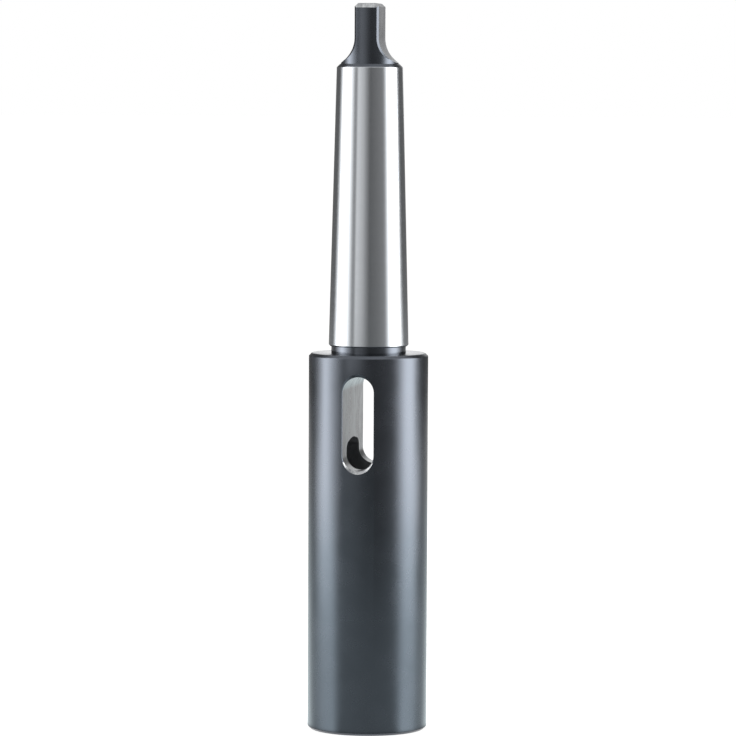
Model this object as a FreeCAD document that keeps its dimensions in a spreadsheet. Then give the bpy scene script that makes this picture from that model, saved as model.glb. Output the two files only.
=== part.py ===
# Morse taper extension sleeve, taper size 3 outside and taper size 3 inside, in millimetres.
# It is one piece of hardened steel: a plain turned body with a tapered socket in its lower
# end, a ground taper shank on its upper end, and a milled tang on top of the shank.
# The origin is the centre of the socket's mouth, and +Z runs along the axis to the tang.
# The tang's two flats face +X and -X, and the drift slot runs through the body along Y.

import FreeCAD, Part
import Sketcher

import math
import os

NODE = "extension_sleeve"

# The driving sizes: a name, the size, and what it is on the sleeve.
# The body is as long as the socket, the drift slot and the metal above the slot need.
SIZES = [
    ("taper_ratio", 19.922, "length over which either taper narrows by 1 mm across"),
    ("body_diameter", 36.0, "outside of the plain body"),
    ("body_edge_break", 0.9, "chamfer on both outer edges of the body"),
    ("socket_gauge_diameter", 23.825, "socket's taper where it meets the mouth face"),
    ("socket_taper_length", 72.2, "mouth face to the end of the socket's taper"),
    ("socket_mouth_width", 0.8, "protective countersink at the mouth, across"),
    ("socket_mouth_angle", 60.0, "full angle of that countersink, in degrees"),
    ("recess_diameter", 22.8, "recess turned behind the taper, which clears the tool's tang"),
    ("recess_clear_length", 7.3, "end of the taper to the drift slot"),
    ("recess_overrun", 7.5, "slot's lower end to the end of the recess's wall"),
    ("recess_end_angle", 156.0, "full angle of the shallow cone that ends the recess, in degrees"),
    ("recess_corner_radius", 3.0, "round between the recess's wall and that cone"),
    ("drill_point_angle", 118.0, "full angle of a drill's point, in degrees"),
    ("slot_width", 9.4, "drift slot, wall to wall"),
    ("slot_length", 28.1, "drift slot, over its two round ends"),
    ("slot_roof", 6.3, "metal between the slot's upper end and the shoulder"),
    ("slot_edge_break", 0.9, "chamfer on the slot's round ends, cut at one depth all the way round"),
    ("shank_diameter", 24.1, "large end of the shank's taper"),
    ("shank_length", 84.7, "length of the shank's taper"),
    ("shank_large_break", 0.4, "chamfer on the shank's large end"),
    ("shank_small_break", 1.0, "chamfer on the shank's small end"),
    ("neck_relief", 0.8, "depth of the grinding relief below the shank"),
    ("neck_length", 2.1, "height of the grinding relief"),
    ("tang_length", 18.1, "shank's small end to the end of the tang"),
    ("tang_thickness", 7.3, "across the two flats"),
    ("tang_step", 0.25, "ring left between the shank's chamfer and the tang"),
    ("tang_runout_radius", 8.2, "milling cutter's radius, where the flats run out"),
    ("tang_cutter_dip", 0.4, "how far the cutter dips below the shank's small end"),
    ("tang_end_break", 1.4, "chamfer turned on the end of the tang"),
    ("tang_flat_break", 1.0, "chamfer milled across the end of each flat"),
    ("centre_mouth_diameter", 3.4, "mouth of the centre hole in the tang's end"),
    ("centre_angle", 60.0, "full angle of the centre hole's cone, in degrees"),
    ("centre_pilot_diameter", 1.6, "pilot below that cone"),
    ("centre_pilot_length", 2.0, "straight wall of the pilot"),
]

# How near a computed place has to be to a stated one, and how far a cutter starts outside.
MATCH = 0.001
CUTTER_START = 2.0

# Radii and heights above the mouth face, as expressions in the driving sizes.
BODY_RADIUS = "Sizes.body_diameter / 2"
GAUGE_RADIUS = "Sizes.socket_gauge_diameter / 2"
MOUTH_RADIUS = f"{GAUGE_RADIUS} + Sizes.socket_mouth_width"
TAPER_END_RADIUS = f"({GAUGE_RADIUS} - Sizes.socket_taper_length / Sizes.taper_ratio / 2)"
RECESS_RADIUS = "Sizes.recess_diameter / 2"
SLOT_RADIUS = "Sizes.slot_width / 2"
SLOT_LOW = "(Sizes.socket_taper_length + Sizes.recess_clear_length)"
SLOT_HIGH = f"({SLOT_LOW} + Sizes.slot_length)"
RECESS_END = f"({SLOT_LOW} + Sizes.recess_overrun)"
SHOULDER = f"({SLOT_HIGH} + Sizes.slot_roof)"
SHANK_LOW = f"({SHOULDER} + Sizes.neck_length)"
SHANK_HIGH = f"({SHANK_LOW} + Sizes.shank_length)"
TANG_HIGH = f"({SHANK_HIGH} + Sizes.tang_length)"
SHANK_LARGE_RADIUS = "Sizes.shank_diameter / 2"
SHANK_SMALL_RADIUS = f"({SHANK_LARGE_RADIUS} - Sizes.shank_length / Sizes.taper_ratio / 2)"
NECK_RADIUS = f"{SHANK_LARGE_RADIUS} - Sizes.neck_relief"
TANG_RADIUS = f"({SHANK_SMALL_RADIUS} - Sizes.shank_small_break - Sizes.tang_step)"
FLAT_PLACE = "Sizes.tang_thickness / 2"

# The kinds of feature that have to take metal away.
CUTS = (
    "PartDesign::Pocket",
    "PartDesign::Groove",
    "PartDesign::Chamfer",
    "PartDesign::SubtractiveLoft",
    "PartDesign::Mirrored",
)

# What a sketch calls its own axes and its origin, and the ends and the centre of an edge.
LEVEL_AXIS, UPRIGHT_AXIS = -1, -2
ORIGIN = (-1, 1)
START, END, CENTRE = range(1, 4)


def fill_sheet(document):
    """Writes the driving sizes into the sheet, one row each."""
    sheet = document.addObject("Spreadsheet::Sheet", "Sizes")
    for row, (name, size, meaning) in enumerate(SIZES, start=1):
        sheet.set(f"A{row}", name)
        sheet.set(f"B{row}", str(size))
        sheet.set(f"C{row}", meaning)
        sheet.setAlias(f"B{row}", name)
    document.recompute()
    return sheet


def origin_plane(body, role):
    """One of the body's own origin planes."""
    return next(item for item in body.Origin.OriginFeatures if item.Role == role)


def upright_sketch(body, name):
    """A sketch on the upright plane through the axis: its across is X and its up is Z."""
    sketch = body.newObject("Sketcher::SketchObject", name)
    sketch.AttachmentSupport = [(origin_plane(body, "XZ_Plane"), "")]
    sketch.MapMode = "FlatFace"
    return sketch


def name_size(sketch, index, name, rule):
    """Names a sketch's constraint and ties its size to an expression."""
    sketch.renameConstraint(index, name)
    sketch.setExpression(f"Constraints.{name}", rule)


def pin_across(sketch, edge, place, name, rule):
    """Sets how far a point stands to the right of the axis, or puts it on the axis."""
    if rule == "0":
        sketch.addConstraint(Sketcher.Constraint("PointOnObject", edge, place, UPRIGHT_AXIS))
        return
    size = sketch.evalExpression(rule)
    pin = Sketcher.Constraint("DistanceX", *ORIGIN, edge, place, size)
    name_size(sketch, sketch.addConstraint(pin), f"{name}_across", rule)


def pin_height(sketch, edge, place, name, rule):
    """Sets a point's height above the mouth face, or puts it level with that face."""
    if rule == "0":
        sketch.addConstraint(Sketcher.Constraint("PointOnObject", edge, place, LEVEL_AXIS))
        return
    size = sketch.evalExpression(rule)
    pin = Sketcher.Constraint("DistanceY", *ORIGIN, edge, place, size)
    name_size(sketch, sketch.addConstraint(pin), f"{name}_height", rule)


def set_radius(sketch, edge, name, rule):
    """Sets the radius of an arc."""
    pin = Sketcher.Constraint("Radius", edge, sketch.evalExpression(rule))
    name_size(sketch, sketch.addConstraint(pin), name, rule)


def straight_outline(sketch, corners):
    """Joins the corners by straight lines into a closed outline, each corner pinned in place."""
    places = [
        FreeCAD.Vector(sketch.evalExpression(across), sketch.evalExpression(height), 0)
        for _, across, height in corners
    ]
    for here, there in zip(places, places[1:] + places[:1]):
        sketch.addGeometry(Part.LineSegment(here, there), False)
    for line, (name, across, height) in enumerate(corners):
        before = (line - 1) % len(corners)
        sketch.addConstraint(Sketcher.Constraint("Coincident", before, END, line, START))
        pin_across(sketch, line, START, name, across)
        pin_height(sketch, line, START, name, height)


def turn(body, kind, name, sketch):
    """Turns a sketch once round the axis, to add metal or to cut a groove."""
    feature = body.newObject(kind, name)
    feature.Profile = sketch
    feature.ReferenceAxis = (sketch, ["V_Axis"])
    feature.Angle = 360
    return feature


def cut_through(body, name, sketch):
    """Cuts a sketch's outline right through the piece, towards both sides."""
    feature = body.newObject("PartDesign::Pocket", name)
    feature.Profile = sketch
    feature.SideType = "Symmetric"
    feature.Type = "ThroughAll"
    return feature


def ring_edges(shape, radius, height):
    """Names of the full circles round the axis with this radius, at this height."""
    names = []
    for number, edge in enumerate(shape.Edges, start=1):
        if not isinstance(edge.Curve, Part.Circle):
            continue
        near_height = abs(edge.Curve.Center.z - height) < MATCH
        near_radius = abs(edge.Curve.Radius - radius) < MATCH
        on_axis = math.hypot(edge.Curve.Center.x, edge.Curve.Center.y) < MATCH
        if near_height and near_radius and on_axis:
            names.append(f"Edge{number}")
    return names


def break_edges(body, name, base, edges, size_name):
    """Chamfers the named edges of a feature by one of the driving sizes."""
    if not edges:
        raise RuntimeError(f"{name} found no edge to chamfer")
    feature = body.newObject("PartDesign::Chamfer", name)
    feature.Base = (base, edges)
    feature.setExpression("Size", f"Sizes.{size_name}")
    body.Document.recompute()
    return feature


def break_ring(body, name, base, radius_rule, height_rule, size_name):
    """Chamfers one round edge, found by its radius and height."""
    radius = base.evalExpression(radius_rule)
    height = base.evalExpression(height_rule)
    return break_edges(body, name, base, ring_edges(base.Shape, radius, height), size_name)


def turned_blank(body):
    """The lathe's work: body, relief, taper shank and the round that the tang is milled from."""
    sketch = upright_sketch(body, "BlankOutline")
    straight_outline(sketch, [
        ("mouth_middle", "0", "0"),
        ("body_low", BODY_RADIUS, "0"),
        ("body_high", BODY_RADIUS, SHOULDER),
        ("neck_low", NECK_RADIUS, SHOULDER),
        ("neck_high", NECK_RADIUS, SHANK_LOW),
        ("shank_large", SHANK_LARGE_RADIUS, SHANK_LOW),
        ("shank_small", SHANK_SMALL_RADIUS, SHANK_HIGH),
        ("tang_low", TANG_RADIUS, SHANK_HIGH),
        ("tang_high", TANG_RADIUS, TANG_HIGH),
        ("tang_middle", "0", TANG_HIGH),
    ])
    blank = turn(body, "PartDesign::Revolution", "Blank", sketch)
    body.Document.recompute()
    return blank


def turned_chamfers(body, blank):
    """The chamfers turned on the blank's round edges, from the mouth up to the tang."""
    feature = break_ring(body, "MouthEdge", blank, BODY_RADIUS, "0", "body_edge_break")
    feature = break_ring(body, "ShoulderEdge", feature, BODY_RADIUS, SHOULDER, "body_edge_break")
    feature = break_ring(
        body, "ShankLargeEdge", feature, SHANK_LARGE_RADIUS, SHANK_LOW, "shank_large_break")
    feature = break_ring(
        body, "ShankSmallEdge", feature, SHANK_SMALL_RADIUS, SHANK_HIGH, "shank_small_break")
    return break_ring(body, "TangEdge", feature, TANG_RADIUS, TANG_HIGH, "tang_end_break")


def centre_hole(body):
    """The centre hole in the tang's end, which the sleeve was ground on."""
    mouth = "Sizes.centre_mouth_diameter / 2"
    pilot = "Sizes.centre_pilot_diameter / 2"
    cone_end = f"({TANG_HIGH} - ({mouth} - {pilot}) / tan(Sizes.centre_angle / 2))"
    pilot_end = f"({cone_end} - Sizes.centre_pilot_length)"
    point = f"{pilot_end} - {pilot} / tan(Sizes.drill_point_angle / 2)"
    sketch = upright_sketch(body, "CentreOutline")
    straight_outline(sketch, [
        ("top", "0", TANG_HIGH),
        ("mouth", mouth, TANG_HIGH),
        ("cone_end", pilot, cone_end),
        ("pilot_end", pilot, pilot_end),
        ("point", "0", point),
    ])
    return turn(body, "PartDesign::Groove", "CentreHole", sketch)


def tang_flats(body):
    """The two flats, milled by a cutter that leaves its own radius where it runs out.

    The cutter chamfers the tang's end, goes down beside the tang and then out over the shank's
    small end, which it passes without touching. One side is drawn, and the other mirrors it.
    """
    floor = f"({SHANK_HIGH} - Sizes.tang_cutter_dip)"
    outside = f"{FLAT_PLACE} + Sizes.tang_runout_radius + {TANG_RADIUS}"
    above = f"{TANG_HIGH} + {CUTTER_START}"
    broken = f"{FLAT_PLACE} - Sizes.tang_flat_break"
    shoulder = f"{TANG_HIGH} - Sizes.tang_flat_break"
    sketch = upright_sketch(body, "FlatOutline")
    flat_x = sketch.evalExpression(FLAT_PLACE)
    broken_x = sketch.evalExpression(broken)
    shoulder_z = sketch.evalExpression(shoulder)
    end_z = sketch.evalExpression(TANG_HIGH)
    outside_x = sketch.evalExpression(outside)
    floor_z = sketch.evalExpression(floor)
    above_z = sketch.evalExpression(above)
    radius = sketch.evalExpression("Sizes.tang_runout_radius")
    upright = FreeCAD.Vector(0, 0, 1)
    turn_in = Part.Circle(FreeCAD.Vector(flat_x + radius, floor_z + radius, 0), upright, radius)
    corner = FreeCAD.Vector
    sketch.addGeometry([
        Part.LineSegment(corner(broken_x, above_z, 0), corner(broken_x, end_z, 0)),
        Part.LineSegment(corner(broken_x, end_z, 0), corner(flat_x, shoulder_z, 0)),
        Part.LineSegment(corner(flat_x, shoulder_z, 0), corner(flat_x, floor_z + radius, 0)),
        Part.ArcOfCircle(turn_in, math.pi, math.pi * 3 / 2),
        Part.LineSegment(corner(flat_x + radius, floor_z, 0), corner(outside_x, floor_z, 0)),
        Part.LineSegment(corner(outside_x, floor_z, 0), corner(outside_x, above_z, 0)),
        Part.LineSegment(corner(outside_x, above_z, 0), corner(broken_x, above_z, 0)),
    ], False)
    entry, chamfer, flat, runout, floor_line, side, top = range(7)
    sketch.addConstraint([
        Sketcher.Constraint("Coincident", entry, END, chamfer, START),
        Sketcher.Constraint("Coincident", chamfer, END, flat, START),
        Sketcher.Constraint("Tangent", flat, END, runout, START),
        Sketcher.Constraint("Tangent", runout, END, floor_line, START),
        Sketcher.Constraint("Coincident", floor_line, END, side, START),
        Sketcher.Constraint("Coincident", side, END, top, START),
        Sketcher.Constraint("Coincident", top, END, entry, START),
        Sketcher.Constraint("Vertical", entry),
        Sketcher.Constraint("Vertical", flat),
        Sketcher.Constraint("Horizontal", floor_line),
        Sketcher.Constraint("Vertical", side),
        Sketcher.Constraint("Horizontal", top),
    ])
    pin_across(sketch, entry, START, "broken", broken)
    pin_height(sketch, entry, START, "above", above)
    pin_height(sketch, chamfer, START, "end", TANG_HIGH)
    pin_across(sketch, flat, START, "flat", FLAT_PLACE)
    pin_height(sketch, flat, START, "shoulder", shoulder)
    set_radius(sketch, runout, "runout_radius", "Sizes.tang_runout_radius")
    pin_across(sketch, side, START, "outside", outside)
    pin_height(sketch, side, START, "floor", floor)
    first = cut_through(body, "TangFlat", sketch)
    body.Document.recompute()
    both = body.newObject("PartDesign::Mirrored", "TangFlats")
    both.Originals = [first]
    both.MirrorPlane = (origin_plane(body, "YZ_Plane"), [""])
    body.Tip = both
    return both


def socket(body):
    """The tapered socket with its countersink, and the blunt-ended recess turned behind it."""
    narrowing = "1 / Sizes.taper_ratio / 2"
    depth = f"(Sizes.socket_mouth_width / (tan(Sizes.socket_mouth_angle / 2) - {narrowing}))"
    step = f"({RECESS_RADIUS} - {TAPER_END_RADIUS})"
    tip = f"{RECESS_END} + {RECESS_RADIUS} / tan(Sizes.recess_end_angle / 2)"
    sketch = upright_sketch(body, "SocketOutline")
    straight_outline(sketch, [
        ("mouth_middle", "0", "0"),
        ("mouth", MOUTH_RADIUS, "0"),
        ("countersink_end", f"{GAUGE_RADIUS} - {depth} * {narrowing}", depth),
        ("taper_end", TAPER_END_RADIUS, "Sizes.socket_taper_length"),
        ("recess_low", RECESS_RADIUS, f"Sizes.socket_taper_length + {step}"),
        ("recess_end", RECESS_RADIUS, RECESS_END),
        ("recess_tip", "0", tip),
    ])
    groove = turn(body, "PartDesign::Groove", "Socket", sketch)
    body.Document.recompute()
    radius = groove.evalExpression(RECESS_RADIUS)
    height = groove.evalExpression(RECESS_END)
    corner = body.newObject("PartDesign::Fillet", "RecessCorner")
    corner.Base = (groove, ring_edges(groove.Shape, radius, height))
    corner.setExpression("Radius", "Sizes.recess_corner_radius")
    body.Document.recompute()
    return corner


def long_hole(sketch, growth):
    """Draws the slot's outline, two walls and two round ends, grown all round by a size."""
    radius_rule = f"{SLOT_RADIUS} + {growth}"
    low = f"{SLOT_LOW} + {SLOT_RADIUS}"
    high = f"{SLOT_HIGH} - {SLOT_RADIUS}"
    radius = sketch.evalExpression(radius_rule)
    low_z = sketch.evalExpression(low)
    high_z = sketch.evalExpression(high)
    upright = FreeCAD.Vector(0, 0, 1)
    low_circle = Part.Circle(FreeCAD.Vector(0, low_z, 0), upright, radius)
    high_circle = Part.Circle(FreeCAD.Vector(0, high_z, 0), upright, radius)
    corner = FreeCAD.Vector
    sketch.addGeometry([
        Part.LineSegment(corner(radius, low_z, 0), corner(radius, high_z, 0)),
        Part.ArcOfCircle(high_circle, 0, math.pi),
        Part.LineSegment(corner(-radius, high_z, 0), corner(-radius, low_z, 0)),
        Part.ArcOfCircle(low_circle, math.pi, math.pi * 2),
    ], False)
    right, top, left, bottom = range(4)
    sketch.addConstraint([
        Sketcher.Constraint("Tangent", right, END, top, START),
        Sketcher.Constraint("Tangent", top, END, left, START),
        Sketcher.Constraint("Tangent", left, END, bottom, START),
        Sketcher.Constraint("Tangent", bottom, END, right, START),
        Sketcher.Constraint("Equal", top, bottom),
    ])
    pin_across(sketch, top, CENTRE, "top", "0")
    pin_across(sketch, bottom, CENTRE, "bottom", "0")
    pin_height(sketch, top, CENTRE, "top", high)
    pin_height(sketch, bottom, CENTRE, "bottom", low)
    set_radius(sketch, top, "slot_radius", radius_rule)


def drift_slot(body):
    """The slot that the drift is driven through, milled right through into the recess."""
    sketch = upright_sketch(body, "SlotOutline")
    long_hole(sketch, "0")
    slot = cut_through(body, "DriftSlot", sketch)
    body.Document.recompute()
    return slot


def slot_chamfer(body):
    """The chamfer round both openings of the slot.

    The chamfering tool follows the slot at one depth. The body's wall falls away from it at the
    slot's long sides, so the chamfer is widest on the round ends and narrow along the sides.
    """
    outlines = []
    outer_growth = f"(Sizes.slot_edge_break + {CUTTER_START})"
    for name, growth in (("ChamferOutside", outer_growth), ("ChamferInside", "0")):
        sketch = upright_sketch(body, name)
        depth = f"{BODY_RADIUS} - Sizes.slot_edge_break + {growth}"
        sketch.setExpression("AttachmentOffset.Base.z", depth)
        long_hole(sketch, growth)
        outlines.append(sketch)
    first = body.newObject("PartDesign::SubtractiveLoft", "SlotEdge")
    first.Profile = outlines[0]
    first.Sections = outlines[1:]
    first.Ruled = True
    body.Document.recompute()
    both = body.newObject("PartDesign::Mirrored", "SlotEdges")
    both.Originals = [first]
    both.MirrorPlane = (origin_plane(body, "XZ_Plane"), [""])
    body.Tip = both
    return both


def build_sleeve(document):
    """The whole sleeve, in the order in which it is turned, milled, bored and slotted."""
    body = document.addObject("PartDesign::Body", "Sleeve")
    body.Label = NODE
    turned_chamfers(body, turned_blank(body))
    centre_hole(body)
    tang_flats(body)
    socket(body)
    drift_slot(body)
    slot_chamfer(body)
    document.recompute()
    return body


def check_document(document):
    """Stops if a feature has failed, a sketch is loose, or a cut has taken nothing away."""
    for item in document.Objects:
        if "Invalid" in item.State or "Error" in item.State:
            raise RuntimeError(f"{item.Name} failed: {item.State}")
        if item.TypeId == "Sketcher::SketchObject" and not item.FullyConstrained:
            raise RuntimeError(f"{item.Name} is not fully constrained")
        if item.TypeId in CUTS and not item.Shape.Volume < item.BaseFeature.Shape.Volume:
            raise RuntimeError(f"{item.Name} cuts nothing")


def write_piece(body):
    """Writes the finished piece's file, named after its node."""
    shape = body.Shape
    if shape.isNull() or not shape.isValid() or len(shape.Solids) != 1:
        raise RuntimeError(f"{body.Label} is not one valid solid")
    os.makedirs("parts", exist_ok=True)
    shape.exportStep(f"parts/{body.Label}.step")
    print(f"{body.Label}: {shape.Volume / 1000:.1f} cm3, {shape.BoundBox.ZLength:.1f} mm high")


document = FreeCAD.newDocument("extension_sleeve")
fill_sheet(document)
sleeve = build_sleeve(document)
check_document(document)
write_piece(sleeve)
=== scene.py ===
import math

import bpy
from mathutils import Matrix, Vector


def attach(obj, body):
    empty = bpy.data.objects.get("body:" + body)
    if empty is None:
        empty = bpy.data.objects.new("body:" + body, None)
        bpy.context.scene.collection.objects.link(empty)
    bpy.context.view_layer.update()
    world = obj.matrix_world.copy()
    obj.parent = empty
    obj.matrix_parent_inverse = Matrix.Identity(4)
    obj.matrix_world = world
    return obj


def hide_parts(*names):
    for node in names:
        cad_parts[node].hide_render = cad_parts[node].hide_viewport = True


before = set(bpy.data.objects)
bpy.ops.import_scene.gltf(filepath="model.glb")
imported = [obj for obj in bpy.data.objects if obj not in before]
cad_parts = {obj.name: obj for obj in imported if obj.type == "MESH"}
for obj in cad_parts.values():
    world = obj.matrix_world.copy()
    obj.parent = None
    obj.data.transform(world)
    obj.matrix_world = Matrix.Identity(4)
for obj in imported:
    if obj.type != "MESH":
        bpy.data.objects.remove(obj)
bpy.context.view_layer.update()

# %% [markdown]
# # A morse taper extension sleeve
# The sleeve lengthens a drill that would not reach its work, and it is one piece of steel. Its
# lower half is a plain round body with a tapered socket inside and a drift slot across it. Its
# upper half is a ground taper shank that ends in a flat tang.
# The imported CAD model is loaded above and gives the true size. This lesson builds the same shape
# again with finer edges, gives each machined surface its own finish, and lights it as a small
# bright metal object is lit on a white table.

# %% [markdown]
# ## Sizes
# The real sleeve is drawn in millimetres, and Blender works in metres, so each size is written
# once in millimetres and turned to metres by one factor. Heights are counted from the socket's
# mouth, which is the face that the sleeve stands on. What follows from other sizes is worked out
# from them. TAPER is what a radius loses in each millimetre of height, half of the taper's 1 in
# 19.922, and both tapers have it. CONE is what it gains on the 60 degree cones of the mouth's
# chamfer and the centre hole, and the chamfer ends where its cone meets the taper.

# %% Sizes in millimetres
MM = 0.001
CLOSE = 0.01
TAPER = 1 / 19.922 / 2
CONE = math.tan(math.radians(30))
BODY_R = 18.0
BODY_BREAK = 0.9
SOCKET_R = 23.825 / 2
MOUTH_WIDTH = 0.8
MOUTH_R = SOCKET_R + MOUTH_WIDTH
MOUTH_DEPTH = MOUTH_WIDTH / (CONE - TAPER)
SOCKET_END = 72.2
TAPER_END_R = SOCKET_R - SOCKET_END * TAPER
RECESS_R = 11.4
RECESS_END = 87.0
RECESS_SLOPE = 12
RECESS_RISE = RECESS_R * math.tan(math.radians(RECESS_SLOPE))
RECESS_ROUND = 3.0
SHOULDER = 113.9
NECK_R = 11.25
SHANK_LOW = 116.0
SHANK_R = 12.05
SHANK_BREAK = 0.4
SHANK_HIGH = 200.7
TIP_R = SHANK_R - (SHANK_HIGH - SHANK_LOW) * TAPER
TIP_BREAK = 1.0
TANG_STEP = 0.25
TANG_R = TIP_R - TIP_BREAK - TANG_STEP
TANG_BREAK = 1.4
FLAT_BREAK = 1.0
TOP = 218.8
FLAT_X = 3.65
RUNOUT_R = 8.2
CUTTER_DIP = 0.4
RUNOUT_LOW = SHANK_HIGH - CUTTER_DIP
SLOT_LOW, SLOT_HIGH = 79.5, 107.6
SLOT_R = 4.7
SLOT_BREAK = 0.9
print("shank's small end, radius in mm:", round(TIP_R, 3))

# %% [markdown]
# ## Helpers for selecting
# An operator acts on all that is selected, so each step starts by dropping the selection. The
# edges or points that a step needs are then picked by a test on their place, as a hand would
# pick them with a box. Two places less than a hundredth of a millimetre apart count as one.


# %% Helpers for selecting
def leave_nothing_selected():
    """Drops every selected object, so that the next operator meets only its own."""
    if bpy.context.object and bpy.context.object.mode == "EDIT":
        bpy.ops.object.mode_set(mode="OBJECT")
    bpy.ops.object.select_all(action="DESELECT")


def pick_points(piece, test):
    """In edit mode, selects only the points of a piece whose place in millimetres passes a test."""
    bpy.ops.mesh.select_all(action="DESELECT")
    bpy.ops.object.mode_set(mode="OBJECT")
    for point in piece.data.vertices:
        point.select = test(*(point.co / MM))
    bpy.ops.object.mode_set(mode="EDIT")
    bpy.ops.mesh.select_mode(type="VERT")


def pick_edges(piece, test):
    """In edit mode, selects only the edges whose two ends in millimetres pass a test."""
    bpy.ops.mesh.select_mode(type="EDGE")
    bpy.ops.mesh.select_all(action="DESELECT")
    bpy.ops.object.mode_set(mode="OBJECT")
    points = piece.data.vertices
    for edge in piece.data.edges:
        edge.select = test(*(points[end].co / MM for end in edge.vertices))
    bpy.ops.object.mode_set(mode="EDIT")


# %% [markdown]
# ## The lathe's work
# On the lathe the sleeve is one outline turned round an axis. The same outline can be spun, or
# it can be grown from a circle: each ring is extruded from the one before and scaled to its own
# radius. Growing it keeps every ring full and closed, so no seam has to be welded. The outline
# starts at the end of the recess deep in the socket, comes down the socket, goes out over the
# mouth and up the outside, and ends in the centre hole on top of the tang.

# %% The turned outline, radius and height
CENTRE_R, PILOT_R, PILOT_LENGTH = 1.7, 0.8, 2.0
CENTRE_END = TOP - (CENTRE_R - PILOT_R) / CONE
PILOT_END = CENTRE_END - PILOT_LENGTH
OUTLINE = [
    (RECESS_R, RECESS_END),
    (RECESS_R, SOCKET_END + RECESS_R - TAPER_END_R),
    (TAPER_END_R, SOCKET_END),
    (SOCKET_R - MOUTH_DEPTH * TAPER, MOUTH_DEPTH),
    (MOUTH_R, 0),
    (BODY_R - BODY_BREAK, 0),
    (BODY_R, BODY_BREAK),
    (BODY_R, SHOULDER - BODY_BREAK),
    (BODY_R - BODY_BREAK, SHOULDER),
    (NECK_R, SHOULDER),
    (NECK_R, SHANK_LOW),
    (SHANK_R - SHANK_BREAK, SHANK_LOW),
    (SHANK_R - SHANK_BREAK * TAPER, SHANK_LOW + SHANK_BREAK),
    (TIP_R + TIP_BREAK * TAPER, SHANK_HIGH - TIP_BREAK),
    (TIP_R - TIP_BREAK, SHANK_HIGH),
    (TANG_R, SHANK_HIGH),
    (TANG_R, TOP - TANG_BREAK),
    (TANG_R - TANG_BREAK, TOP),
    (CENTRE_R, TOP),
    (PILOT_R, CENTRE_END),
    (PILOT_R, PILOT_END),
]
print("points on the outline:", len(OUTLINE))

# %% Grow the rings from one circle
ROUND = 256
leave_nothing_selected()
start_r, start_z = OUTLINE[0]
bpy.ops.mesh.primitive_circle_add(
    vertices=ROUND, radius=start_r * MM, fill_type="NOTHING", location=(0, 0, start_z * MM))
sleeve = bpy.context.object
sleeve.name = sleeve.data.name = "turned_sleeve"
bpy.ops.object.transform_apply(location=True, rotation=False, scale=False)
bpy.ops.object.mode_set(mode="EDIT")
bpy.ops.mesh.select_all(action="SELECT")
for (last_r, last_z), (next_r, next_z) in zip(OUTLINE, OUTLINE[1:]):
    rise = (0, 0, (next_z - last_z) * MM)
    bpy.ops.mesh.extrude_region_move(TRANSFORM_OT_translate={"value": rise})
    ratio = next_r / last_r
    bpy.ops.transform.resize(value=(ratio, ratio, 1), center_override=(0, 0, next_z * MM))
print("rings grown:", len(OUTLINE), "of", ROUND, "points each")

# %% [markdown]
# The centre hole ends in a drill's point of 118 degrees: the last ring is extruded once more and
# merged into one point. The first ring is closed in the same way, by the shallow cone that ends
# the recess. The tool that turned it left its round nose in the corner, and a bevel makes that
# round.

# %% Close both ends
POINT_DEPTH = PILOT_R / math.tan(math.radians(118 / 2))
bpy.ops.mesh.extrude_region_move(TRANSFORM_OT_translate={"value": (0, 0, -POINT_DEPTH * MM)})
bpy.ops.mesh.merge(type="CENTER")
pick_points(sleeve, lambda x, y, z: abs(z - RECESS_END) < CLOSE)
bpy.ops.mesh.extrude_region_move(TRANSFORM_OT_translate={"value": (0, 0, RECESS_RISE * MM)})
bpy.ops.mesh.merge(type="CENTER")
pick_edges(sleeve, lambda one, other: all(
    abs(end.z - RECESS_END) < CLOSE for end in (one, other)))
round_reach = RECESS_ROUND * math.tan(math.radians((90 - RECESS_SLOPE) / 2))
bpy.ops.mesh.bevel(offset=round_reach * MM, segments=10, affect="EDGES")
bpy.ops.mesh.select_mode(type="VERT")
bpy.ops.mesh.select_all(action="SELECT")
bpy.ops.mesh.remove_doubles(threshold=0.001 * MM)
bpy.ops.mesh.normals_make_consistent(inside=False)
bpy.ops.object.mode_set(mode="OBJECT")
print("closed blank:", len(sleeve.data.polygons), "faces")

# %% [markdown]
# ## Edges that catch the light
# No turned edge is perfectly sharp: a touch of emery takes about a tenth of a millimetre off it,
# and that narrow round draws the thin bright line on a metal edge. A bevel on whole rings does
# the same. Only the rings of the real corners are picked, not the long cone between them.

# %% Break the turned corners
CORNERS = [
    (BODY_R - BODY_BREAK, 0),
    (BODY_R, BODY_BREAK),
    (BODY_R, SHOULDER - BODY_BREAK),
    (BODY_R - BODY_BREAK, SHOULDER),
    (MOUTH_R, 0),
    (TIP_R + TIP_BREAK * TAPER, SHANK_HIGH - TIP_BREAK),
    (TANG_R, TOP - TANG_BREAK),
    (TANG_R - TANG_BREAK, TOP),
]
EMERY = 0.12


def on_a_corner(one, other):
    """True for an edge that runs along one of the turned corners."""
    return any(
        all(abs(math.hypot(end.x, end.y) - r) < CLOSE and abs(end.z - z) < CLOSE
            for end in (one, other))
        for r, z in CORNERS
    )


bpy.ops.object.mode_set(mode="EDIT")
pick_edges(sleeve, on_a_corner)
bpy.ops.mesh.bevel(offset=EMERY * MM, segments=2, affect="EDGES", loop_slide=True)
bpy.ops.object.mode_set(mode="OBJECT")
print("after breaking the corners:", len(sleeve.data.polygons), "faces")

# %% [markdown]
# ## The drift slot
# A drift, a flat wedge, is driven through this slot to push the drill's tang out. On the mill it
# is cut right through with an end mill, and a chamfering tool then follows it at one depth.
# Because the body's wall falls away at the slot's sides, that chamfer is wide on the round ends
# and hardly there along the sides. Here the two tools are modelled as one plug lying along Y,
# with its ends flared by the chamfer. Its upper half is then raised, which turns the round plug
# into a long one with two round ends. The plug's flat sides touch the true round from outside, so
# that its two long walls are exactly the slot's width apart.

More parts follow.
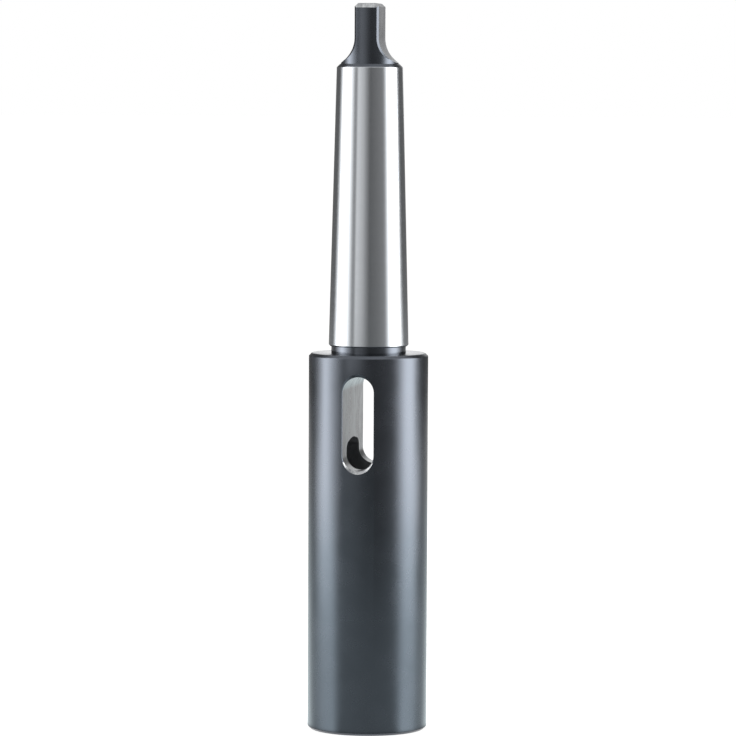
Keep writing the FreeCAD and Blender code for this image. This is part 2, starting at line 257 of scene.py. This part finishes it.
# %% The slot's cutter
SIDES = 64
HALF_STEP = math.pi / SIDES
PAST_BODY = 2.0
wall = BODY_R - SLOT_BREAK
flare = SLOT_BREAK + PAST_BODY
leave_nothing_selected()
bpy.ops.mesh.primitive_cylinder_add(
    vertices=SIDES, radius=SLOT_R / math.cos(HALF_STEP) * MM, depth=2 * wall * MM,
    location=(0, 0, (SLOT_LOW + SLOT_R) * MM), rotation=(math.pi / 2, HALF_STEP, 0))
slot_cutter = bpy.context.object
bpy.ops.object.transform_apply(location=True, rotation=True, scale=True)
bpy.ops.object.mode_set(mode="EDIT")
for side in (-1, 1):
    pick_points(slot_cutter, lambda x, y, z: y * side > wall - CLOSE)
    bpy.ops.mesh.extrude_region_move(TRANSFORM_OT_translate={"value": (0, side * flare * MM, 0)})
    bpy.ops.transform.resize(
        value=((SLOT_R + flare) / SLOT_R, 1, (SLOT_R + flare) / SLOT_R),
        center_override=(0, 0, (SLOT_LOW + SLOT_R) * MM))
pick_points(slot_cutter, lambda x, y, z: z > SLOT_LOW + SLOT_R)
bpy.ops.transform.translate(value=(0, 0, (SLOT_HIGH - SLOT_LOW - 2 * SLOT_R) * MM))
bpy.ops.mesh.select_all(action="SELECT")
bpy.ops.mesh.normals_make_consistent(inside=False)
bpy.ops.object.mode_set(mode="OBJECT")
print("slot cutter:", len(slot_cutter.data.polygons), "faces")

# %% [markdown]
# ## The tang's flats
# The tang is what the spindle drives. Each flat is milled by a side cutter, and where it runs
# out it leaves the cutter's own radius. A box with one edge bevelled to that radius is the shape
# that the cutter sweeps. One is made, and its copy is turned half round for the other flat.


# %% Cutters for the two flats
def side_cutter(name, place, radius, low):
    """A box whose lower inner edge is rounded to a radius, with its inner wall at x = place."""
    leave_nothing_selected()
    width, depth, height = 24.0, 40.0, TOP + 4.0 - low
    bpy.ops.mesh.primitive_cube_add(
        size=MM, location=((place + width / 2) * MM, 0, (low + height / 2) * MM))
    cutter = bpy.context.object
    cutter.name = name
    cutter.scale = (width, depth, height)
    bpy.ops.object.transform_apply(location=True, rotation=True, scale=True)
    bpy.ops.object.mode_set(mode="EDIT")
    pick_edges(cutter, lambda one, other: all(
        abs(end.x - place) < CLOSE and abs(end.z - low) < CLOSE for end in (one, other)))
    bpy.ops.mesh.bevel(offset=radius * MM, segments=32, affect="EDGES")
    bpy.ops.object.mode_set(mode="OBJECT")
    return cutter


def turned_copy(cutter, degrees):
    """The same cutter with its own mesh, turned about the sleeve's axis."""
    leave_nothing_selected()
    copy = cutter.copy()
    copy.data = cutter.data.copy()
    bpy.context.scene.collection.objects.link(copy)
    copy.data.transform(Matrix.Rotation(math.radians(degrees), 4, "Z"))
    return copy


flat_cutter = side_cutter("flat_cutter", FLAT_X, RUNOUT_R, RUNOUT_LOW)
flat_cutters = [flat_cutter, turned_copy(flat_cutter, 180)]
print("cutter for a flat:", len(flat_cutter.data.polygons), "faces")

# %% [markdown]
# The end of each flat is broken at 45 degrees too. A block stood on its edge has such a face,
# and its copy is turned half round for the other side.

# %% Cutters for the ends of the flats
leave_nothing_selected()
block = 12.0
half_diagonal = block / 2 / math.sqrt(2)
bpy.ops.mesh.primitive_cube_add(
    size=block * MM, rotation=(0, math.pi / 4, 0), scale=(1, 2, 1),
    location=((FLAT_X - FLAT_BREAK / 2 + half_diagonal) * MM, 0,
              (TOP - FLAT_BREAK / 2 + half_diagonal) * MM))
end_cutter = bpy.context.object
bpy.ops.object.transform_apply(location=True, rotation=True, scale=True)
flat_cutters += [end_cutter, turned_copy(end_cutter, 180)]
print("cutters for the flats:", len(flat_cutters))

# %% [markdown]
# The four long edges that the flats leave are then broken by hand on a wheel. That narrow band
# follows the edge down into the run-out and fades away there, and it is the brightest line on
# the tang. The same kind of cutter does it, turned to the middle of the corner and with a wider
# radius, which keeps it on the edge as the edge swings outward.

# %% Cutters for the tang's four long edges
EDGE_DEPTH = 0.34
EDGE_RUNOUT_R = 13.5
corner_angle = math.degrees(math.acos(FLAT_X / TANG_R)) / 2
corner_reach = FLAT_X * math.cos(math.radians(corner_angle)) + math.sqrt(
    TANG_R ** 2 - FLAT_X ** 2) * math.sin(math.radians(corner_angle))
edge_low = RUNOUT_LOW + RUNOUT_R - EDGE_RUNOUT_R
edge_cutter = side_cutter("edge_cutter", corner_reach - EDGE_DEPTH, EDGE_RUNOUT_R, edge_low)
edge_cutters = [
    turned_copy(edge_cutter, turn)
    for turn in (corner_angle, -corner_angle, 180 + corner_angle, 180 - corner_angle)
]
bpy.data.objects.remove(edge_cutter)
print("edge cutters at", round(corner_angle, 1), "degrees,", round(corner_reach, 2), "mm out")

# %% [markdown]
# On a drawing the tang lies in line with the slot. On this sleeve the two are a little over two
# degrees apart, as happens when they are milled in separate settings, and the camera sees a
# narrower tang for it. So all the tang's cutters are turned together.

# %% Turn the tang's cutters
TANG_TURN = 2.3
for cutter in flat_cutters + edge_cutters:
    cutter.data.transform(Matrix.Rotation(math.radians(TANG_TURN), 4, "Z"))
print("tang turned from the slot, degrees:", TANG_TURN)

# %% [markdown]
# ## Cutting
# A boolean modifier takes each cutter's shape out of the blank, as the tool would. The exact
# solver is slower than the fast one, but it leaves a closed shell where the slot breaks into the
# recess and across its end.

# %% Take the cutters out of the blank
for cutter in [slot_cutter, *flat_cutters, *edge_cutters]:
    leave_nothing_selected()
    sleeve.select_set(True)
    bpy.context.view_layer.objects.active = sleeve
    cut = sleeve.modifiers.new("cut", "BOOLEAN")
    cut.operation = "DIFFERENCE"
    cut.solver = "EXACT"
    cut.object = cutter
    bpy.ops.object.modifier_apply(modifier=cut.name)
    bpy.data.objects.remove(cutter)
print("cut sleeve:", len(sleeve.data.polygons), "faces")

# %% Weld, close and smooth the shell
leave_nothing_selected()
sleeve.select_set(True)
bpy.context.view_layer.objects.active = sleeve
bpy.ops.object.mode_set(mode="EDIT")
bpy.ops.mesh.select_all(action="SELECT")
bpy.ops.mesh.remove_doubles(threshold=0.0005 * MM)
bpy.ops.mesh.normals_make_consistent(inside=False)
bpy.ops.mesh.select_all(action="DESELECT")
bpy.ops.mesh.select_mode(type="VERT")
bpy.ops.mesh.select_non_manifold()
bpy.ops.object.mode_set(mode="OBJECT")
print("open or crossing points:", sum(point.select for point in sleeve.data.vertices))
bpy.ops.object.shade_smooth_by_angle(angle=math.radians(24))

# %% [markdown]
# ## Materials
# All of it is one steel, but each surface was made in another way, and that is what the eye
# reads. Colours are written as the hex values that a screen shows, and one function turns them
# to the linear numbers that a shader needs. Another adds a node with its settings and links.


# %% Helpers for materials
def linear(hex_colour):
    """A screen colour such as "8A8D92" as the shader's linear red, green, blue and alpha."""
    parts = [int(hex_colour[i:i + 2], 16) / 255 for i in (0, 2, 4)]
    return tuple(c / 12.92 if c <= 0.04045 else ((c + 0.055) / 1.055) ** 2.4 for c in parts) + (1,)


def add_node(tree, kind, settings=None, **inputs):
    """Adds a node with its settings, and links or sets each input, named or by number as _0."""
    node = tree.nodes.new(kind)
    for name, value in (settings or {}).items():
        setattr(node, name, value)
    for name, value in inputs.items():
        numbered = name[1:].isdigit()
        socket = node.inputs[int(name[1:]) if numbered else name.replace("_", " ")]
        if isinstance(value, bpy.types.NodeSocket):
            tree.links.new(value, socket)
        else:
            socket.default_value = value
    return node


def new_finish(name):
    """An empty material with its tree, its shader and the sleeve's own coordinates."""
    material = bpy.data.materials.new(name)
    material.use_nodes = True
    tree = material.node_tree
    shader = tree.nodes["Principled BSDF"]
    place = add_node(tree, "ShaderNodeTexCoord").outputs["Object"]
    return material, tree, shader, place


# %% [markdown]
# ### Ground steel
# The shank is hardened, and then ground between centres on a wheel. The wheel leaves lines so
# fine that they only show in the light: a reflection stays sharp round the shank and is drawn
# out along it. So the shader is a metal with its gloss stretched along the axis, and rings of
# slightly different roughness lie on it. Real grinding lines are a few hundredths of a
# millimetre apart. They are drawn about ten times as coarse, so that they show at all.

# %% Ground steel
ground, tree, shader, place = new_finish("ground_steel")
rings = add_node(tree, "ShaderNodeMapping", Vector=place, Scale=(40, 40, 3000))
lines = add_node(
    tree, "ShaderNodeTexNoise", Vector=rings.outputs["Vector"], Scale=1.0, Detail=3.0,
    Roughness=0.6)
rough = add_node(
    tree, "ShaderNodeMapRange", Value=lines.outputs["Fac"], From_Min=0.3, From_Max=0.7,
    To_Min=0.18, To_Max=0.23)
bump = add_node(
    tree, "ShaderNodeBump", Height=lines.outputs["Fac"], Strength=0.03, Distance=0.02 * MM)
tangent = add_node(tree, "ShaderNodeTangent", {"direction_type": "RADIAL", "axis": "Z"})
shader.inputs["Base Color"].default_value = linear("C3C6CA")
shader.inputs["Metallic"].default_value = 1.0
shader.inputs["Anisotropic"].default_value = 0.8
shader.inputs["Anisotropic Rotation"].default_value = 0.25
tree.links.new(rough.outputs["Result"], shader.inputs["Roughness"])
tree.links.new(bump.outputs["Normal"], shader.inputs["Normal"])
tree.links.new(tangent.outputs["Tangent"], shader.inputs["Tangent"])
print("material:", ground.name)

# %% [markdown]
# ### Blackened steel
# The body, the neck and the tang keep the thin black oxide of the hardening bath, oiled and
# smooth. It is still metal under a dark skin, so it mirrors in a dim, bluish way with soft
# edges. The skin is never quite even, so its colour and its gloss drift a little from place to
# place, and the turning below it shows as faint rings. The neck was turned finer than the body,
# so it mirrors more sharply there.

# %% Blackened steel
black, tree, shader, place = new_finish("black_oxide_steel")
clouds = add_node(tree, "ShaderNodeTexNoise", Vector=place, Scale=120.0, Detail=4.0)
turned = add_node(tree, "ShaderNodeMapping", Vector=place, Scale=(20, 20, 1600))
marks = add_node(
    tree, "ShaderNodeTexNoise", Vector=turned.outputs["Vector"], Scale=1.0, Detail=2.0)
skin = add_node(
    tree, "ShaderNodeMix", {"data_type": "RGBA"}, Factor=clouds.outputs["Fac"],
    _6=linear("53575D"), _7=linear("5E6269"))
rough = add_node(
    tree, "ShaderNodeMapRange", Value=clouds.outputs["Fac"], From_Min=0.3, From_Max=0.7,
    To_Min=0.24, To_Max=0.29)
NECK_MIDDLE = (SHOULDER + SHANK_LOW) / 2
NECK_REACH = (SHANK_LOW - SHOULDER) / 2 - CLOSE
NECK_ROUGHNESS = 0.15
height = add_node(tree, "ShaderNodeSeparateXYZ", Vector=place).outputs["Z"]
at_neck = add_node(
    tree, "ShaderNodeMath", {"operation": "COMPARE"}, _0=height, _1=NECK_MIDDLE * MM,
    _2=NECK_REACH * MM)
rough = add_node(
    tree, "ShaderNodeMix", Factor=at_neck.outputs["Value"], _2=rough.outputs["Result"],
    _3=NECK_ROUGHNESS)
bump = add_node(
    tree, "ShaderNodeBump", Height=marks.outputs["Fac"], Strength=0.05, Distance=0.02 * MM)
shader.inputs["Metallic"].default_value = 1.0
tree.links.new(skin.outputs[2], shader.inputs["Base Color"])
tree.links.new(rough.outputs[0], shader.inputs["Roughness"])
tree.links.new(bump.outputs["Normal"], shader.inputs["Normal"])
print("material:", black.name)

# %% [markdown]
# ### Milled steel
# The slot is cut after the blackening, so its walls are bare, and so is the round chamfer on the
# tang's end. An end mill leaves shallow steps along its path, which show as lighter and darker
# streaks that run up and down the wall. Real steps are about a tenth of a millimetre wide. They
# are drawn many times as coarse, so that they show at all.

# %% Milled steel
milled, tree, shader, place = new_finish("milled_steel")
path = add_node(tree, "ShaderNodeMapping", Vector=place, Scale=(520, 300, 90))
streaks = add_node(
    tree, "ShaderNodeTexNoise", Vector=path.outputs["Vector"], Scale=1.0, Detail=4.0,
    Roughness=0.7)
cut = add_node(
    tree, "ShaderNodeMapRange", Value=streaks.outputs["Fac"], From_Min=0.35, From_Max=0.65)
worn = add_node(
    tree, "ShaderNodeMix", {"data_type": "RGBA"}, Factor=cut.outputs["Result"],
    _6=linear("85878A"), _7=linear("D2D4D5"))
rough = add_node(
    tree, "ShaderNodeMapRange", Value=streaks.outputs["Fac"], From_Min=0.3, From_Max=0.7,
    To_Min=0.24, To_Max=0.36)
bump = add_node(
    tree, "ShaderNodeBump", Height=streaks.outputs["Fac"], Strength=0.4, Distance=0.06 * MM)
shader.inputs["Metallic"].default_value = 1.0
tree.links.new(worn.outputs[2], shader.inputs["Base Color"])
tree.links.new(rough.outputs["Result"], shader.inputs["Roughness"])
tree.links.new(bump.outputs["Normal"], shader.inputs["Normal"])
print("material:", milled.name)

# %% [markdown]
# ### Reamed steel
# Inside the socket a taper reamer has left fine rings on bare steel, much duller than the ground
# shank, and the recess behind the taper is as dull. So the socket takes up the light that comes
# in at its mouth and shades softly to its end, where a smooth metal would turn black.

# %% Reamed steel
reamed, tree, shader, place = new_finish("reamed_steel")
rings = add_node(tree, "ShaderNodeMapping", Vector=place, Scale=(30, 30, 2200))
lines = add_node(
    tree, "ShaderNodeTexNoise", Vector=rings.outputs["Vector"], Scale=1.0, Detail=2.0)
rough = add_node(
    tree, "ShaderNodeMapRange", Value=lines.outputs["Fac"], From_Min=0.3, From_Max=0.7,
    To_Min=0.5, To_Max=0.6)
bump = add_node(
    tree, "ShaderNodeBump", Height=lines.outputs["Fac"], Strength=0.15, Distance=0.03 * MM)
shader.inputs["Base Color"].default_value = linear("A8AAAD")
shader.inputs["Metallic"].default_value = 1.0
tree.links.new(rough.outputs["Result"], shader.inputs["Roughness"])
tree.links.new(bump.outputs["Normal"], shader.inputs["Normal"])
print("material:", reamed.name)


# %% [markdown]
# ## Which surface has which finish
# Each face is sorted by its place and its direction: the cone of the shank, the walls of the
# slot, the inside of the socket, the round chamfer on the tang's end, and all the rest. The slot's
# own chamfer is bare round the slot's lower end. Round its upper end it faces down and mirrors
# the shaded table, and there it is given the body's dark finish as painted shade.

# %% Give each face its finish
FINISHES = [black, ground, milled, reamed]
for finish in FINISHES:
    sleeve.data.materials.append(finish)


def is_slot_wall(centre, normal):
    """True for the slot's two walls and round ends, and for the chamfer of its lower end."""
    middle = min(max(centre.z, SLOT_LOW + SLOT_R), SLOT_HIGH - SLOT_R)
    away = Vector((centre.x, 0, centre.z - middle))
    faces_in = normal.dot(away) < -0.5 * away.length
    on_wall = abs(away.length - SLOT_R) < CLOSE
    # Only the chamfer that faces up is bare; where it faces down it keeps the dark finish as
    # painted shade.
    on_rim = abs(centre.y) > BODY_R - SLOT_BREAK - CLOSE and normal.z > 0.3
    return faces_in and (on_wall or on_rim)


def finish_of(centre, normal):
    """The finish of a face, from its middle in millimetres and its direction."""
    radius = math.hypot(centre.x, centre.y)
    outward = (centre.x * normal.x + centre.y * normal.y) / max(radius, CLOSE)
    if SHANK_LOW + CLOSE < centre.z < SHANK_HIGH - TIP_BREAK + EMERY / 2 and radius > TANG_R:
        return ground
    around_slot = SLOT_BREAK + 0.1
    beside_slot = abs(centre.x) < SLOT_R + around_slot
    at_slot = SLOT_LOW - around_slot < centre.z < SLOT_HIGH + around_slot
    if beside_slot and at_slot and is_slot_wall(centre, normal):
        return milled
    if radius < MOUTH_R and CLOSE < centre.z < RECESS_END + RECESS_RISE and outward < 0.5:
        return reamed
    if centre.z > TOP - TANG_BREAK and 0.6 < normal.z < 0.8 and abs(normal.y) > 0.5:
        return milled
    return black


for face in sleeve.data.polygons:
    face.material_index = FINISHES.index(finish_of(face.center / MM, face.normal))
for number, finish in enumerate(FINISHES):
    faces = sum(face.material_index == number for face in sleeve.data.polygons)
    print(finish.name, "on", faces, "faces")

# %% [markdown]
# ## Put the piece in the frame
# The modelled sleeve stands for the CAD model's one solid and rides on the part's one body.

# %% Ride on the frame
sleeve.name = sleeve.data.name = "sleeve_dressed"
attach(sleeve, "root")
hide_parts("extension_sleeve")
print("triangles:", sum(len(face.vertices) - 2 for face in sleeve.data.polygons))

# %% [markdown]
# ## The camera
# The photograph was taken from about the height of the tang's foot, looking four degrees down and
# standing about ten degrees round from the slot, with a long lens. The camera stands where the
# ellipses of the two rims and the slot's narrowing agree, and it is rolled by a quarter of a
# degree.

# %% Place the camera
AZIMUTH, DISTANCE, HEIGHT = math.radians(10.3), 1.270, 0.1965
ASIDE = -0.15 * MM
PITCH, ROLL = math.radians(3.93), math.radians(0.266)
camera = bpy.data.objects.new("camera", bpy.data.cameras.new("camera"))
bpy.context.scene.collection.objects.link(camera)
bpy.context.scene.camera = camera
camera.data.lens = 206.5
camera.data.sensor_width = 36.0
camera.data.clip_start, camera.data.clip_end = 0.05, 50.0
back = Vector((math.sin(AZIMUTH), -math.cos(AZIMUTH), 0))
right = Vector((math.cos(AZIMUTH), math.sin(AZIMUTH), 0))
gaze = -back * math.cos(PITCH) - Vector((0, 0, math.sin(PITCH)))
camera.matrix_world = (
    Matrix.Translation(back * DISTANCE + right * ASIDE + Vector((0, 0, HEIGHT)))
    @ gaze.to_track_quat("-Z", "Y").to_matrix().to_4x4()
    @ Matrix.Rotation(ROLL, 4, "Z"))
print("camera:", [round(v, 3) for v in camera.matrix_world.translation])

# %% [markdown]
# ## Light
# A bright metal shows nothing of its own, only what stands round it. The photograph shows a
# light tent: white cloth with a tall soft lamp behind each side, the dim room through its open
# front, and a dark strip behind each side that draws the sleeve's dark outline. Two lamps light
# the table and everything matt. The tent is an open ring of cloth whose brightness is written
# down by direction, in degrees from the camera to its right, and only mirrors see it.
# An upright mirror sends a look on at the slope that it came in with, here a little downward. So
# the upper body mirrors only the tent's foot, where the lamps reach far round to the back. The
# shank mirrors the part above it, where the lamps end sooner and the dark strips are deeper. Each
# part has its own list, set until the bands of light lay where the photograph has them.
# At the tang's height two windows light the tang's narrow edge and its flat.

# %% A ring of brightness
BRIGHTEST = 6.5


def around(tree, turn, levels, tint=(1, 1, 1)):
    """Node output: the brightness in each direction, as a share of the brightest."""
    ring = add_node(tree, "ShaderNodeValToRGB", Fac=turn)
    stops = ring.color_ramp.elements
    while len(stops) > 1:
        stops.remove(stops[-1])
    stops[0].position = 0
    for degrees, level in levels:
        stop = stops[0] if degrees == -180 else stops.new(0.5 + degrees / 360)
        stop.color = (*(level / BRIGHTEST * share for share in tint), 1)
    return ring.outputs["Color"]


def plain_material(name):
    """A material without its shader, with its tree and its output socket."""
    material = bpy.data.materials.new(name)
    material.use_nodes = True
    tree = material.node_tree
    tree.nodes.remove(tree.nodes["Principled BSDF"])
    return material, tree, tree.nodes["Material Output"].inputs["Surface"]


# %% The tent's brightness by direction
TENT = [
    (-180, 0.7), (-163, 0.7), (-156, 0.5), (-126, 0.5), (-120, 1.4), (-112, 2.9),
    (-104, 4.8), (-92, 5.6), (-84, 5.4), (-74, 3.4), (-66, 1.9), (-60, 1.4), (-54, 0.52),
    (-48, 0.32), (-42, 0.3), (-28, 0.28), (-10, 0.22), (0, 0.18), (14, 0.18), (28, 0.22),
    (49, 0.46), (55, 0.8), (60, 1.8), (74, 4.5), (86, 5.5), (96, 5.5), (104, 4.9), (112, 3.2),
    (120, 1.5), (127, 0.6), (152, 0.5), (157, 0.7),
]
SHANK_TENT = [
    (-180, 1.8), (-168, 0.16), (-125, 0.15), (-120, 0.3), (-115, 0.7), (-109, 1.35),
    (-102, 2.6), (-92, 6.0), (-74, 3.0), (-67, 1.9), (-62, 1.5), (-56, 0.8), (-51, 0.36),
    (-45, 0.42), (-40, 1.12), (-28, 0.88), (-20, 0.74), (-10, 0.42), (-3, 0.26), (1, 0.17),
    (46, 0.31), (50, 0.44), (55, 0.92), (60, 1.75), (76, 5.8), (93, 5.8), (104, 1.5),
    (111, 0.75), (116, 0.28), (121, 0.15), (168, 0.17), (180, 1.8),
]
WINDOWS = [(99, 7, 4.8), (165, 8, 0.75)]
print("levels in the tent:", len(TENT), "at its foot and", len(SHANK_TENT), "above")

# %% The tent's ring
TENT_RADIUS, TENT_HEIGHT = 0.75, 0.9
leave_nothing_selected()
bpy.ops.mesh.primitive_cylinder_add(
    vertices=128, radius=TENT_RADIUS, depth=TENT_HEIGHT, end_fill_type="NOTHING",
    location=(0, 0, TENT_HEIGHT / 2), rotation=(0, 0, AZIMUTH - math.pi / 2))
tent = bpy.context.object
tent.name = "light_tent"
print("tent, metres across:", 2 * TENT_RADIUS)

# %% The tent's cloth
FOOT_END, SHANK_START, WINDOW_START = 0.066, 0.068, 0.207
cloth, tree, surface = plain_material("light_tent")
spot = add_node(tree, "ShaderNodeTexCoord").outputs["Object"]
turn = add_node(
    tree, "ShaderNodeTexGradient", {"gradient_type": "RADIAL"}, Vector=spot).outputs["Fac"]
height = add_node(tree, "ShaderNodeSeparateXYZ", Vector=spot).outputs["Z"]
height = add_node(
    tree, "ShaderNodeMath", {"operation": "ADD"}, _0=height, _1=TENT_HEIGHT / 2).outputs[0]
above = add_node(
    tree, "ShaderNodeMapRange", Value=height, From_Min=FOOT_END, From_Max=SHANK_START)
ring = add_node(
    tree, "ShaderNodeMix", {"data_type": "RGBA"}, Factor=above.outputs["Result"],
    _6=around(tree, turn, TENT), _7=around(tree, turn, SHANK_TENT))
higher = add_node(
    tree, "ShaderNodeMath", {"operation": "GREATER_THAN"}, _0=height, _1=WINDOW_START)
for middle, reach, level in WINDOWS:
    beside = add_node(
        tree, "ShaderNodeMath", {"operation": "COMPARE"}, _0=turn, _1=0.5 + middle / 360,
        _2=reach / 360)
    window = add_node(
        tree, "ShaderNodeMath", {"operation": "MULTIPLY"}, _0=beside.outputs[0],
        _1=higher.outputs[0])
    ring = add_node(
        tree, "ShaderNodeMix", {"data_type": "RGBA"}, Factor=window.outputs[0],
        _6=ring.outputs[2], _7=(*[level / BRIGHTEST] * 3, 1))
shine = add_node(
    tree, "ShaderNodeEmission", Color=ring.outputs[2], Strength=BRIGHTEST)
tree.links.new(shine.outputs["Emission"], surface)
tent.data.materials.append(cloth)
tent.visible_camera = tent.visible_shadow = tent.visible_diffuse = False
print("material:", cloth.name)

# %% Two lamps for the table and everything matt
LAMP_DISTANCE, LAMP_WIDTH, LAMP_LOW, LAMP_HIGH = 0.8, 0.62, 0.03, 0.75
LAMPS = [("left_softbox", -82, 4.5), ("right_softbox", 82, 5.0)]
for name, degrees, level in LAMPS:
    lamp = bpy.data.objects.new(name, bpy.data.lights.new(name, "AREA"))
    bpy.context.scene.collection.objects.link(lamp)
    lamp.data.shape = "RECTANGLE"
    lamp.data.size, lamp.data.size_y = LAMP_WIDTH, LAMP_HIGH - LAMP_LOW
    lamp.data.energy = level * math.pi * LAMP_WIDTH * (LAMP_HIGH - LAMP_LOW)
    turn = AZIMUTH + math.radians(degrees)
    lamp.location = (
        math.sin(turn) * LAMP_DISTANCE, -math.cos(turn) * LAMP_DISTANCE,
        (LAMP_LOW + LAMP_HIGH) / 2)
    lamp.rotation_euler = (math.pi / 2, 0, turn)
    lamp.visible_camera = lamp.visible_glossy = False
    print(name, "of", round(lamp.data.energy, 2), "watts")

# %% [markdown]
# ## Table and background
# The table is matt white and takes the sleeve's soft shadow. The camera sees it at full white,
# apart from that shadow. Mirrors see it lit by the tent: dim in front, where the room's shade
# lies, bright at the sides and brightest near the lamps, and dark right at the sleeve's foot. It
# has one list for close by and one for far off, and goes over from the first to the second.
# It can be looked through from below and under the sleeve, so that the socket's mouth can be seen
# from there and light comes in.

# %% The table's brightness by direction
NEAR_TABLE = [
    (-180, 1.5), (-150, 1.35), (-140, 1.0), (-126, 0.95), (-118, 1.15), (-107, 1.45),
    (-97, 1.75), (-77, 2.0), (-71, 1.9), (-65, 1.3), (-58, 0.8), (-52, 0.6), (0, 0.5),
    (44, 0.54), (54, 0.62), (60, 0.85), (65, 1.3), (71, 2.0), (78, 2.3), (84, 2.2),
    (102, 2.0), (109, 1.55), (116, 1.2), (125, 0.95), (138, 0.85), (150, 1.15), (180, 1.5),
]
FAR_TABLE = [
    (-180, 0.85), (-150, 0.8), (-125, 0.5), (-113, 1.35), (-103, 2.4), (-95, 3.2), (-78, 3.2),
    (-70, 2.5), (-64, 1.2), (-57, 0.5), (-40, 0.55), (0, 0.24), (25, 0.22), (46, 0.36),
    (56, 0.62), (63, 1.2), (69, 2.2), (78, 3.4), (92, 3.7), (102, 2.4), (110, 1.15),
    (118, 0.5), (150, 0.8),
]
TABLE_TINT = (0.9, 1.0, 1.02)
print("levels on the table:", len(NEAR_TABLE), "close by and", len(FAR_TABLE), "far off")

# %% The table's plane
TABLE_SIDE, UNDER_MOUTH = 40, 0.1
leave_nothing_selected()
bpy.ops.mesh.primitive_plane_add(
    size=TABLE_SIDE, location=(0, 0, -UNDER_MOUTH * MM), rotation=(0, 0, AZIMUTH - math.pi / 2))
table = bpy.context.object
table.name = "table"
print("table, metres across:", round(table.dimensions.x))

# %% The table's white
NEAR_END, FAR_START = 0.1, 0.45
SHADE_START, SHADE_END, SHADE = 0.0185, 0.022, 0.25
LIFT = 0.6
white, tree, surface = plain_material("white_table")
rays = add_node(tree, "ShaderNodeLightPath")
matt = add_node(tree, "ShaderNodeBsdfDiffuse", Color=linear("E8E8E6"))
lift = add_node(
    tree, "ShaderNodeMath", {"operation": "MULTIPLY"}, _0=rays.outputs["Is Camera Ray"], _1=LIFT)
raised = add_node(tree, "ShaderNodeEmission", Strength=lift.outputs["Value"])
lifted = add_node(
    tree, "ShaderNodeAddShader", _0=matt.outputs["BSDF"], _1=raised.outputs["Emission"])
spot = add_node(tree, "ShaderNodeTexCoord").outputs["Object"]
turn = add_node(tree, "ShaderNodeTexGradient", {"gradient_type": "RADIAL"}, Vector=spot)
away = add_node(tree, "ShaderNodeVectorMath", {"operation": "LENGTH"}, _0=spot).outputs["Value"]
# A ray that the body mirrors close by leaves in a direction further round than where it lands,
# so the angle is opened out there.
closer = add_node(tree, "ShaderNodeMath", {"operation": "DIVIDE"}, _0=BODY_R / 2 * MM, _1=away)
closer = add_node(tree, "ShaderNodeMath", {"operation": "SUBTRACT"}, _0=1.0, _1=closer.outputs[0])
turn = add_node(
    tree, "ShaderNodeMath", {"operation": "SUBTRACT"}, _0=turn.outputs["Fac"], _1=0.5)
turn = add_node(
    tree, "ShaderNodeMath", {"operation": "DIVIDE"}, _0=turn.outputs[0], _1=closer.outputs[0])
turn = add_node(tree, "ShaderNodeMath", {"operation": "ADD"}, _0=turn.outputs[0], _1=0.5)
far = add_node(
    tree, "ShaderNodeMapRange", Value=away, From_Min=NEAR_END, From_Max=FAR_START)
ring = add_node(
    tree, "ShaderNodeMix", {"data_type": "RGBA"}, Factor=far.outputs["Result"],
    _6=around(tree, turn.outputs[0], NEAR_TABLE, TABLE_TINT),
    _7=around(tree, turn.outputs[0], FAR_TABLE, TABLE_TINT))
shade = add_node(
    tree, "ShaderNodeMapRange", Value=away, From_Min=SHADE_START, From_Max=SHADE_END,
    To_Min=SHADE * BRIGHTEST, To_Max=BRIGHTEST)
shine = add_node(
    tree, "ShaderNodeEmission", Color=ring.outputs[2], Strength=shade.outputs["Result"])
seen = add_node(
    tree, "ShaderNodeMixShader", _0=rays.outputs["Is Glossy Ray"], _1=lifted.outputs["Shader"],
    _2=shine.outputs["Emission"])
clear = add_node(tree, "ShaderNodeBsdfTransparent")
below = add_node(tree, "ShaderNodeNewGeometry").outputs["Backfacing"]
covered = add_node(
    tree, "ShaderNodeMath", {"operation": "LESS_THAN"}, _0=away, _1=BODY_R * MM)
hidden = add_node(
    tree, "ShaderNodeMath", {"operation": "MAXIMUM"}, _0=below, _1=covered.outputs[0])
both = add_node(
    tree, "ShaderNodeMixShader", _0=hidden.outputs[0], _1=seen.outputs["Shader"],
    _2=clear.outputs["BSDF"])
tree.links.new(both.outputs["Shader"], surface)
table.data.materials.append(white)
print("material:", white.name)

# %% [markdown]
# The background is the world itself: full white where the camera or a mirror sees it, and a
# softer white as the light that falls on matt things.

# %% The white background
SOFTER = 0.55
world = bpy.data.worlds.new("white_background")
bpy.context.scene.world = world
world.use_nodes = True
tree = world.node_tree
rays = add_node(tree, "ShaderNodeLightPath")
plain = add_node(
    tree, "ShaderNodeMath", {"operation": "MAXIMUM"}, _0=rays.outputs["Is Camera Ray"],
    _1=rays.outputs["Is Glossy Ray"])
level = add_node(
    tree, "ShaderNodeMapRange", Value=plain.outputs["Value"], To_Min=SOFTER, To_Max=1.0)
tree.links.new(level.outputs["Result"], tree.nodes["Background"].inputs["Strength"])
tree.nodes["Background"].inputs["Color"].default_value = linear("FFFFFF")
bpy.context.scene.view_settings.view_transform = "Standard"
print("world:", world.name)
